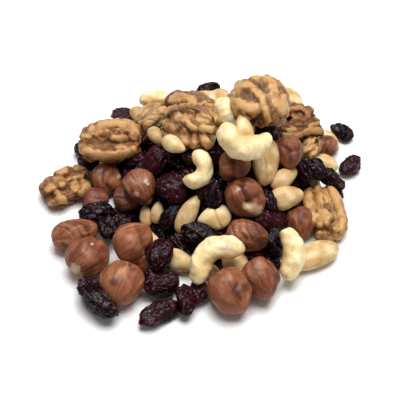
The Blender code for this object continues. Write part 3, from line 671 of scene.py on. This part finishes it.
def walnut(lat, lon, size, rng):
    """Half a kernel: a dome below, and above it two rolled rims, two hollows and a bridge along the middle.

    Its folds are rounded lobes, with creases where a smooth height is 0, and a groove runs along the dome.
    """
    s, c = np.sin(lat), np.cos(lat)
    across, face = np.cos(lon), np.sin(lon)
    x = size[0] / 2 * (1.12 * s - 0.24 * s**9)
    bulge = np.maximum(c, 0) ** 0.8
    rise = np.where(face > 0, 0.42 * np.maximum(face, 0) ** 0.6, 0.58 * face)
    dip = np.exp(-(((np.abs(across) - 0.45) / 0.22) ** 2)) * step(face, 0.0, 0.5)
    base = np.stack([x, size[1] / 2 * bulge * across, size[2] * bulge * (rise - 0.22 * dip)], axis=1)
    lobes = np.clip(np.abs(waves(base, 9.0, rng)) ** 0.6, 0, 1.1)
    small = np.clip(np.abs(waves(base, 4.6, rng)) ** 0.7, 0, 1.2)
    groove = np.exp(-((base[:, 1] / (0.07 * size[1])) ** 2)) * step(-face, 0.0, 0.3)
    height = (0.07 * size[1] + 0.5) * (lobes + 0.25 * small - 0.8 * groove)
    return base, height, np.clip(0.85 * lobes + 0.2 * small - 0.7 * groove, 0, 1)


# Each form gives its plain shape, its relief along the normals and its fold value, which is low in hollows,
# creases, valleys and a cashew's inner curve, where the materials paint shade
FORMS = {"walnut": walnut, "hazelnut": hazelnut, "cashew": cashew, "almond": almond, "raisin": raisin}


def lay_folds(points, facing, folds, height, fold):
    """A walnut's own folds where it faces the eye: the highest of them all, over half of the random height.

    A fold's height is its full height times the root of 1 less the cube of a distance: that from its middle
    line over its half width, which waves by a quarter. The hollows between lie below the plain shape. The
    fold value is high on the folds and low in the hollows, where the material paints light and shade.
    """
    spots, pixel = picture_place(points)
    x, y, z = points.T
    swell = 1 + 0.24 * np.sin(1.4 * x + z) * np.cos(1.2 * y - 0.8 * z)
    own, tone = 0.55 * height / pixel, 0.50 * fold
    for line, half in folds:
        round_top = np.sqrt(1 - np.clip(way_from(spots, line) / (1.12 * half * swell), 0, 1) ** 3)
        own, tone = np.maximum(own, (1.8 + 0.85 * half) * round_top), np.maximum(tone, round_top)
    share = step(facing, -0.35, 0.05)
    own = own * pixel + 0.1 * height - FOLD_BASE
    return (1 - share) * (height - 0.6 * np.median(height)) + share * own, fold + share * (tone - fold)


def press_creases(points, facing, creases, relief, fold):
    """Creases where a nut faces the eye: a bell curve's depth by the distance from a line, and a lower fold
    value there, which the materials paint as shade in the crease.
    """
    spots, _ = picture_place(points)
    share = step(facing, -0.2, 0.1)
    for line, half, depth in creases:
        bell = share * np.exp(-((way_from(spots, line) / half) ** 2))
        relief = relief - depth * bell
        fold = fold - 0.7 * bell
    return relief, np.clip(fold, 0, 1)


def mark_strength(points, marks):
    """1 at the middle of the nearest mark and 0 at its edge, by where the eye sees each point."""
    spots, pixel = picture_place(points)
    strength = np.zeros(len(points))
    for x, y, half in marks:
        apart = np.hypot(spots[:, 0] - x, spots[:, 1] - y) * pixel
        strength = np.maximum(strength, 1 - apart / half)
    return strength


def shaped(kind, size, middle, axes, spot, seed):
    """One piece in its place: points, triangles and what its material reads."""
    rng = np.random.default_rng(seed)
    girth, along = math.pi * (size[1] + size[2]) / 2, 1.25 * size[0]
    if kind == "cashew":
        girth, along = math.pi * size[2], 1.9 * size[0]
    spacing = SPACING[kind] * (1.0 if spot else COARSER)
    lat, lon, triangles = ball_grid(max(12, round(girth / spacing)), max(8, round(along / spacing)))
    base, relief, fold = FORMS["almond" if spot in END_ON else kind](lat, lon, size, rng)
    normals = normals_of(base, triangles)
    placed = middle + base @ axes.T
    to_eye = EYE - placed
    facing = ((normals @ axes.T) * to_eye).sum(axis=1) / np.linalg.norm(to_eye, axis=1)
    if spot in FOLDS:
        relief, fold = lay_folds(placed, facing, FOLDS[spot], relief, fold)
    elif kind == "walnut":
        relief = relief - 0.6 * np.median(relief)
    if spot in CREASES:
        relief, fold = press_creases(placed, facing, CREASES[spot], relief, fold)
    shade, shift, sway = rng.uniform(0, 1), rng.uniform(-200, 200, 3), waves(base, 9.0, rng)
    own = base + normals * relief[:, None]
    points = middle + own @ axes.T
    points[:, 2] = np.maximum(points[:, 2], FLOOR_CLEARANCE)
    swayed = lon + 0.08 * sway
    around = np.stack([7 * np.cos(swayed), 7 * np.sin(swayed), 0.10 * base[:, 0]], axis=1)
    marked = spot if kind == "hazelnut" else None
    return points, triangles, {
        "fold": fold,
        "shade": np.full(len(points), SHADES.get(spot, shade)),
        "bare_and_highlight": mark_strength(points, BARE_AND_HIGHLIGHTS if marked else ()),
        "dark_patch": mark_strength(points, DARK_PATCHES if marked else ()),
        "own": own * ((0.5, 1, 1) if kind == "raisin" else 1.0) + shift,
        "around": around + shift,
    }


def put(name, data, axes=np.eye(3), place=(0, 0, 0)):
    """An object in the scene, turned to three axes and at a place in mm."""
    made = bpy.data.objects.new(name, data)
    turn = np.eye(4)
    turn[:3, :4] = np.column_stack([*axes, np.array(place) * MM])
    made.matrix_world = Matrix(turn.tolist())
    bpy.context.scene.collection.objects.link(made)
    return made


def make_mesh(name, parts):
    """One mesh object from several parts: their points in mm, triangles, and named values at the points."""
    starts = np.cumsum([0] + [len(p[0]) for p in parts[:-1]])
    points = np.concatenate([p[0] for p in parts]) * MM
    triangles = np.concatenate([p[1] + start for p, start in zip(parts, starts)])
    mesh = bpy.data.meshes.new(name)
    mesh.vertices.add(len(points))
    mesh.vertices.foreach_set("co", points.ravel())
    mesh.loops.add(triangles.size)
    mesh.loops.foreach_set("vertex_index", triangles.ravel().astype(np.int32))
    mesh.polygons.add(len(triangles))
    mesh.polygons.foreach_set("loop_start", np.arange(0, triangles.size, 3, dtype=np.int32))
    mesh.polygons.foreach_set("use_smooth", np.ones(len(triangles), bool))
    for key in parts[0][2]:
        values = np.concatenate([p[2][key] for p in parts])
        kind, field = ("FLOAT_VECTOR", "vector") if values.ndim == 2 else ("FLOAT", "value")
        mesh.attributes.new(key, kind, "POINT").data.foreach_set(field, values.ravel().astype(np.float32))
    mesh.update(calc_edges=True)
    mesh.validate()
    return put(name, mesh)


# The core under the pieces: the mound, as rings and spokes on a flat base, knobbly like raisins pressed
# together, and painted nearly black as the shade in the gaps between the pieces
CORE_SPOKES = 260
CORE_RINGS = 90
CORE_SEED = 5


def core_parts():
    """The mound's height, carried out along spokes, plus lumps with creases where a smooth height is 0."""
    rng = np.random.default_rng(CORE_SEED)
    angles = np.linspace(0, 2 * np.pi, CORE_SPOKES, endpoint=False)
    reach_x = np.where(np.cos(angles) < 0, MOUND_LEFT, MOUND_RIGHT)
    reach_y = np.where(np.sin(angles) < 0, MOUND_NEAR, MOUND_FAR)
    reach = 1 / np.hypot(np.cos(angles) / reach_x, np.sin(angles) / reach_y)
    share = (np.linspace(0, 1, CORE_RINGS + 1)[1:])[:, None]
    x = np.concatenate([[0], (share * reach * np.cos(angles)).ravel()]) + MOUND_AT[0]
    y = np.concatenate([[0], (share * reach * np.sin(angles)).ravel()]) + MOUND_AT[1]
    top = np.stack([x, y, mound_height(x, y)], axis=1)
    lumps = np.clip(np.abs(waves(top, 17.0, rng)) ** 0.6, 0, 1.2)
    wrinkles = np.abs(waves(top, 3.4, rng)) ** 0.7
    rise = np.clip(top[:, 2] / 4, 0, 1) * (2.6 * (lumps - 0.8) + 0.6 * (wrinkles - 0.7))
    top[:, 2] = np.maximum(top[:, 2] + rise, FLOOR_CLEARANCE)
    foot = np.vstack([top[-CORE_SPOKES:], [[*MOUND_AT, 0]]]) * (1, 1, 0)
    points = np.vstack([top, foot])
    fold = np.zeros(len(points))
    fold[: len(top)] = np.clip(wrinkles / 1.4, 0, 1) * np.clip(lumps, 0, 1)
    # A ball's grid, whose first pole is the top here, which turns its faces in, so they are turned out
    _, _, triangles = ball_grid(CORE_SPOKES, CORE_RINGS + 1)
    return points, triangles[:, ::-1], {"fold": fold, "shade": np.full(len(points), 0.3), "own": points}


# The finishes


def linear(code):
    """An sRGB colour written as RRGGBB, as linear red, green, blue and 1."""
    shares = np.array([int(code[k : k + 2], 16) for k in (0, 2, 4)]) / 255
    return (*np.where(shares < 0.04045, shares / 12.92, ((shares + 0.055) / 1.055) ** 2.4), 1.0)


def add(tree, kind, output, inputs=(), stops=(), **settings):
    """Adds a node with its settings, its inputs (values, or other nodes' outputs) and its ramp's stops.

    It gives back one of the node's outputs, by name or number.
    """
    made = tree.nodes.new(kind)
    for name, value in settings.items():
        setattr(made, name, value)
    for name, value in dict(inputs).items():
        if isinstance(value, bpy.types.NodeSocket):
            tree.links.new(value, made.inputs[name])
        else:
            made.inputs[name].default_value = value
    if stops:
        ramp = made.color_ramp.elements
        while len(ramp) < len(stops):
            ramp.new(0.5)
        for element, (place, code) in zip(ramp, stops):
            element.position, element.color = place, linear(code)
    return made.outputs[output]


# The kinds of node in use, what they are called, and the mix node's setting for colours
READ, NOISE, RAMP = "ShaderNodeAttribute", "ShaderNodeTexNoise", "ShaderNodeValToRGB"
RANGE, MATH, MIX, BUMP = "ShaderNodeMapRange", "ShaderNodeMath", "ShaderNodeMix", "ShaderNodeBump"
COLOURS = {"data_type": "RGBA"}

# How far light spreads inside a kernel that it glows through, m
GLOW_REACH = 0.002


def start_material(name, roughness, gloss, glow=0.0):
    """A material and its nodes, with its roughness, specular level and share of light that glows through."""
    paint = bpy.data.materials.new(name)
    paint.use_nodes = True
    inputs = paint.node_tree.nodes["Principled BSDF"].inputs
    inputs["Roughness"].default_value = roughness
    inputs["Specular IOR Level"].default_value = gloss
    inputs["Subsurface Weight"].default_value = glow
    inputs["Subsurface Scale"].default_value = GLOW_REACH
    return paint, paint.node_tree


def tinted(tree, skin, *tints):
    """A skin's colour with tints laid over it, one after another.

    Each tint has the value it goes by, two limits of that value, its strength at either, and its colour.
    """
    for value, low, high, at_low, at_high, code in tints:
        share = add(tree, RANGE, "Result", {"Value": value, 1: low, 2: high, 3: at_low, 4: at_high})
        skin = add(tree, MIX, 2, {0: share, 6: skin, 7: linear(code)}, **COLOURS)
    return skin


def finished(paint, skin, relief, strength, depth):
    """Gives a material its colour and a bump from a relief, whose full depth is in metres."""
    tree = paint.node_tree
    bump = add(tree, BUMP, "Normal", {"Height": relief, "Strength": strength, "Distance": depth})
    for socket, value in (("Base Color", skin), ("Normal", bump)):
        tree.links.new(value, tree.nodes["Principled BSDF"].inputs[socket])
    return paint


def walnut_material():
    """Walnut kernel skin: thin, satin and tan, with painted shade in the creases and painted light on the
    fold tops, which gives the folds their depth.
    """
    paint, tree = start_material("walnut kernel skin", 0.36, 0.24, 0.15)
    own = add(tree, READ, "Vector", attribute_name="own")
    fold, shade = [add(tree, READ, "Fac", attribute_name=name) for name in ("fold", "shade")]
    # Patches of 5 mm, where the skin is thicker or rubbed, and veins of under 1 mm
    patches = add(tree, NOISE, "Fac", {"Vector": own, "Scale": 0.2, "Detail": 3})
    veins = add(tree, NOISE, "Fac", {"Vector": own, "Scale": 1.1, "Detail": 4, "Roughness": 0.65})
    spread = add(tree, MATH, 0, {0: patches, 1: 0.5}, operation="SUBTRACT")
    # The fold value is low in the hollows and creases and high on the fold tops, so the ramp paints shade in
    # the hollows and light on the tops, over the skin's own patches
    tone = add(tree, MATH, 0, {0: spread, 1: 1.4, 2: fold}, operation="MULTIPLY_ADD")
    tans = ((0.0, "341A0A"), (0.3, "5A3415"), (0.6, "83532A"), (0.85, "A97945"), (1.0, "C89B61"))
    skin = tinted(
        tree,
        add(tree, RAMP, "Color", {"Fac": tone}, tans),
        (shade, 0.3, 1.0, 0.0, 0.5, "D6B27C"),
        (shade, 0.0, 0.4, 0.5, 0.0, "6E3C18"),
        (veins, 0.36, 0.48, 0.35, 0.0, "6E4220"),
    )
    return finished(paint, skin, veins, 0.6, 0.0006)


def hazelnut_material():
    """Hazelnut skin: papery and red brown, with fine streaks and dark veins from tip to scar, dully satin."""
    paint, tree = start_material("hazelnut skin", 0.42, 0.18)
    own, around = [add(tree, READ, "Vector", attribute_name=name) for name in ("own", "around")]
    names = ("fold", "shade", "bare_and_highlight", "dark_patch")
    fold, shade, bare_and_highlight, dark_patch = [add(tree, READ, "Fac", attribute_name=name) for name in names]
    # Streaks and flecks of 1 mm, bands of 3 mm along the nut, blotches of 5 mm, and the ragged rim of a patch
    streaks = add(tree, NOISE, "Fac", {"Vector": around, "Scale": 1.3, "Detail": 4, "Roughness": 0.65})
    flecks = add(tree, NOISE, "Fac", {"Vector": around, "Scale": 0.9, "Detail": 5, "Roughness": 0.75})
    bands = add(tree, NOISE, "Fac", {"Vector": around, "Scale": 0.35, "Detail": 2})
    blotches = add(tree, NOISE, "Fac", {"Vector": own, "Scale": 0.2, "Detail": 4})
    ragged = add(tree, NOISE, "Fac", {"Vector": own, "Scale": 0.7, "Detail": 4})
    # Veins run where the bands are neither light nor dark
    off_middle = add(tree, MATH, 0, {0: bands, 1: 0.5}, operation="SUBTRACT")
    off_vein = add(tree, MATH, 0, {0: off_middle}, operation="ABSOLUTE")
    skin = tinted(
        tree,
        add(tree, MIX, 2, {0: shade, 6: linear("5A241E"), 7: linear("9D5C3A")}, **COLOURS),
        (blotches, 0.45, 0.68, 0.0, 0.6, "B77750"),
        (blotches, 0.34, 0.5, 0.45, 0.0, "6B3423"),
        (bands, 0.54, 0.75, 0.0, 0.3, "CE976C"),
        (streaks, 0.38, 0.58, 0.5, 0.0, "5E2E1E"),
        (off_vein, 0.0, 0.012, 0.3, 0.0, "4A2016"),
        (flecks, 0.5, 0.75, 0.0, 0.4, "D3A27C"),
        # Darker where the fold value is low, in the creases: painted shade
        (fold, 0.1, 0.5, 0.7, 0.0, "4C231A"),
    )
    # Darker patches, and then pale patches where the skin is off and where a highlight is painted, each with
    # a ragged rim
    for strength, colour in ((dark_patch, "4A2A25"), (bare_and_highlight, "D9BC98")):
        rim = add(tree, MATH, 0, {0: ragged, 1: 1.4, 2: strength}, operation="MULTIPLY_ADD")
        patch = add(tree, RANGE, "Result", {"Value": rim, 1: 0.75, 2: 1.35, 3: 0.0, 4: 0.75})
        inside = add(tree, RANGE, "Result", {"Value": strength, 1: 0.0, 2: 0.2, 3: 0.0, 4: 1.0})
        patch = add(tree, MATH, 0, {0: patch, 1: inside}, operation="MULTIPLY")
        skin = add(tree, MIX, 2, {0: patch, 6: skin, 7: linear(colour)}, **COLOURS)
    return finished(paint, skin, streaks, 0.7, 0.0004)


def cashew_material():
    """Raw cashew kernel: smooth, cream, faintly waxy, with painted shade that makes it tanner at the inner
    curve, so it looks soft and dry.
    """
    paint, tree = start_material("cashew kernel", 0.42, 0.15, 0.12)
    own = add(tree, READ, "Vector", attribute_name="own")
    fold = add(tree, READ, "Fac", attribute_name="fold")
    # Patches of 4 mm and pits of under 1 mm
    patches = add(tree, NOISE, "Fac", {"Vector": own, "Scale": 0.25, "Detail": 3})
    pits = add(tree, NOISE, "Fac", {"Vector": own, "Scale": 1.3, "Detail": 3})
    cream = add(tree, RAMP, "Color", {"Fac": patches}, ((0.3, "E6C88E"), (0.5, "F0DAA8"), (0.7, "F5E4BE")))
    # Tanner where the fold value is low, at the inner curve and in creases: painted shade. Darker in the
    # pits.
    cream = tinted(tree, cream, (fold, 0.0, 0.45, 0.7, 0.0, "D2A15A"), (pits, 0.34, 0.46, 0.4, 0.0, "C99B58"))
    return finished(paint, cream, pits, 0.4, 0.0005)


def almond_material():
    """Blanched almond: smooth, satin ivory with faint lengthwise streaks and a tan bloom here and there."""
    paint, tree = start_material("blanched almond", 0.38, 0.15, 0.12)
    own, around = [add(tree, READ, "Vector", attribute_name=name) for name in ("own", "around")]
    fold = add(tree, READ, "Fac", attribute_name="fold")
    # Blooms of 5 mm and streaks of over 1 mm along the nut
    blooms = add(tree, NOISE, "Fac", {"Vector": own, "Scale": 0.2, "Detail": 3})
    streaks = add(tree, NOISE, "Fac", {"Vector": around, "Scale": 0.8, "Detail": 2})
    ivory = add(tree, RAMP, "Color", {"Fac": blooms}, ((0.3, "BC905A"), (0.5, "D2B482"), (0.7, "EAD5AE")))
    # Darker where the fold value is low, in dents and creases: painted shade
    lines, crease = (streaks, 0.4, 0.55, 0.3, 0.0, "D0A768"), (fold, 0.0, 0.3, 0.6, 0.0, "A87C42")
    ivory = tinted(tree, ivory, lines, crease)
    return finished(paint, ivory, streaks, 0.2, 0.0004)


def raisin_material(name, valley, middle, ridge, gloss):
    """Raisin skin: nearly black plum with painted shade in its valleys, redder ridges of painted light that
    glows through, sticky gleams, and faint pale dots that are painted glints like a sugary bloom.
    """
    paint, tree = start_material(name, 0.22, gloss)
    own = add(tree, READ, "Vector", attribute_name="own")
    fold, shade = [add(tree, READ, "Fac", attribute_name=name) for name in ("fold", "shade")]
    # Wrinkles of over 2 mm, longer along the raisin, each with finer ones on it
    wrinkles = add(tree, NOISE, "Fac", {"Vector": own, "Scale": 0.42, "Detail": 3, "Roughness": 0.55})
    spread = add(tree, MATH, 0, {0: wrinkles, 1: 0.5}, operation="SUBTRACT")
    tone = add(tree, MATH, 0, {0: spread, 1: 1.2, 2: fold}, operation="MULTIPLY_ADD")
    # The ramp paints the valleys between the wrinkles nearly black, which is painted shade, and the ridges
    # redder, which is painted light glowing through the thin skin
    skin = add(tree, RAMP, "Color", {"Fac": tone}, ((0.1, valley), (0.55, middle), (1.0, ridge)))
    # Pale dots of over half a millimetre, most on the ridges: painted glints, like a sugary bloom
    glint_specks = add(tree, NOISE, "Fac", {"Vector": own, "Scale": 1.5, "Detail": 2, "Roughness": 0.6})
    painted_glints = add(tree, MATH, 0, {0: fold, 1: 0.08, 2: glint_specks}, operation="MULTIPLY_ADD")
    skin = tinted(tree, skin, (shade, 0.3, 1.0, 0.0, 0.5, "48141C"), (painted_glints, 0.66, 0.78, 0.0, 0.6, "92727E"))
    return finished(paint, skin, wrinkles, 1.0, 0.0018)


def table_material():
    """White laminate: an even, matt, pure white sheet that only shows the heap's soft shadow."""
    paint, tree = start_material("white laminate", 0.6, 0.2)
    # A grain of over 4 mm, hardly darker than the rest
    place = add(tree, "ShaderNodeTexCoord", "Object")
    grain = add(tree, NOISE, "Fac", {"Vector": place, "Scale": 225.0, "Detail": 1})
    white = add(tree, MIX, 2, {0: grain, 6: linear("F8F8F8"), 7: linear("FCFCFC")}, **COLOURS)
    tree.links.new(white, tree.nodes["Principled BSDF"].inputs["Base Color"])
    return paint


# The studio: half the floor's width in mm, and each light's name, place and width in mm, power in watts, and
# whether it lights the heap or only shows in its gloss. Then how bright the white surround is.
FLOOR_HALF = 2000.0
LIGHTS = (
    ("softbox", (80.0, 100.0, 750.0), 580.0, 8.6, True),
    ("glint lamp", (-200.0, 80.0, 700.0), 150.0, 6.0, False),
)
AMBIENT = 0.22
SENSOR_WIDTH = 36.0


def add_floor():
    """A plain white sheet under the heap, which isn't part of it."""
    corners = np.array([(-1, -1, 0), (1, -1, 0), (1, 1, 0), (-1, 1, 0)]) * FLOOR_HALF * MM
    mesh = bpy.data.meshes.new("floor")
    mesh.from_pydata(corners.tolist(), [], [(0, 1, 2, 3)])
    mesh.materials.append(table_material())
    put("floor", mesh)


def add_camera():
    """The eye: a picture as wide as the layout's, seen from the layout's distance."""
    data = bpy.data.cameras.new("eye")
    data.sensor_width = SENSOR_WIDTH
    data.lens = SENSOR_WIDTH * EYE_DISTANCE / (PICTURE_PX * MM_PER_PX)
    bpy.context.scene.camera = put("eye", data, (RIGHT, UP, BACK), EYE)


def add_lights():
    """A wide soft light above, a small one at the left that only gives glints, and an even white surround."""
    for name, place, width, power, lights_all in LIGHTS:
        data = bpy.data.lights.new(name, "AREA")
        data.shape, data.size, data.energy = "SQUARE", width * MM, power
        back = np.array(place) / np.linalg.norm(place)
        side = np.cross([0, 1, 0], back)
        side /= np.linalg.norm(side)
        light = put(name, data, (side, np.cross(back, side), back), place)
        light.visible_diffuse = lights_all
    world = bpy.data.worlds.new("white surround")
    world.use_nodes = True
    background = world.node_tree.nodes["Background"].inputs
    background["Color"].default_value = (1, 1, 1, 1)
    background["Strength"].default_value = AMBIENT
    bpy.context.scene.world = world
    bpy.context.scene.view_settings.view_transform = "Standard"


# The pieces
SHAPE_SEED = 7

# Raisins that carry the far end of the large walnut on the crest: size, middle and turn in degrees
CARRIERS = (
    ((14.0, 10.0, 8.0), (28.5, 17.5, 27.0), 20),
    ((14.0, 11.0, 8.5), (26.5, 18.0, 34.8), -50),
    ((13.0, 10.0, 8.0), (26.0, 26.5, 35.2), 70),
    ((13.0, 9.5, 8.0), (20.5, 26.5, 33.5), 10),
)


def all_pieces():
    """Each piece in its place, where the eye sees it (None if the layout's lists don't say) and its seed."""
    heap, strays = lay_out()
    balls = []
    for kind, size, middle, axes in heap:
        centres, radii = balls_of(kind, size)
        balls.append(np.column_stack([middle + centres @ axes.T, radii]))
    seen = sum(len(group) for group in balls[: len(SEEN)])
    tuck_in(np.vstack(balls), heap, seen, SMALL_ROUNDS, SMALL_SEED)
    level = np.array([0.0, 0.0, 1.0])
    carriers = [
        ("raisin", np.array(size), np.array(middle), axes_on(level, math.radians(turn), 0.0, 0.0))
        for size, middle, turn in CARRIERS
    ]
    spots = [row[1:3] for row in SEEN] + [None] * (len(heap) - len(SEEN))
    spots += [row[1:3] for row in STRAYS] + [None] * len(carriers)
    pieces = zip(heap + strays + carriers, spots)
    return [(*piece, spot, (SHAPE_SEED, k)) for k, (piece, spot) in enumerate(pieces)]


def show(name, parts, paint, nodes):
    """One visible piece, which rides on the heap's body and stands for some of its nodes."""
    piece = make_mesh(name, parts)
    piece.data.materials.append(paint)
    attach(piece, "root")
    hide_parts(*nodes)


def build():
    """Lays the heap out, makes a piece for each kind and their core, and puts them before the eye."""
    paints = {
        "walnut": walnut_material(),
        "hazelnut": hazelnut_material(),
        "cashew": cashew_material(),
        "almond": almond_material(),
        "raisin": raisin_material("raisin skin", "020001", "13050A", "401B25", 0.12),
    }
    rows = all_pieces()
    for kind, paint in paints.items():
        parts = [shaped(*row) for row in rows if row[0] == kind]
        show(kind + "s", parts, paint, (HEAP, *STRAY_NODES) if kind == "raisin" else (HEAP,))
    # The core is nearly black, darker than the raisins: painted shade in the gaps between the pieces
    shade_darkened = raisin_material("packed raisins", "020001", "070203", "14080B", 0.05)
    show("heap_core", [core_parts()], shade_darkened, (HEAP,))
    add_floor()
    add_camera()
    add_lights()


build()
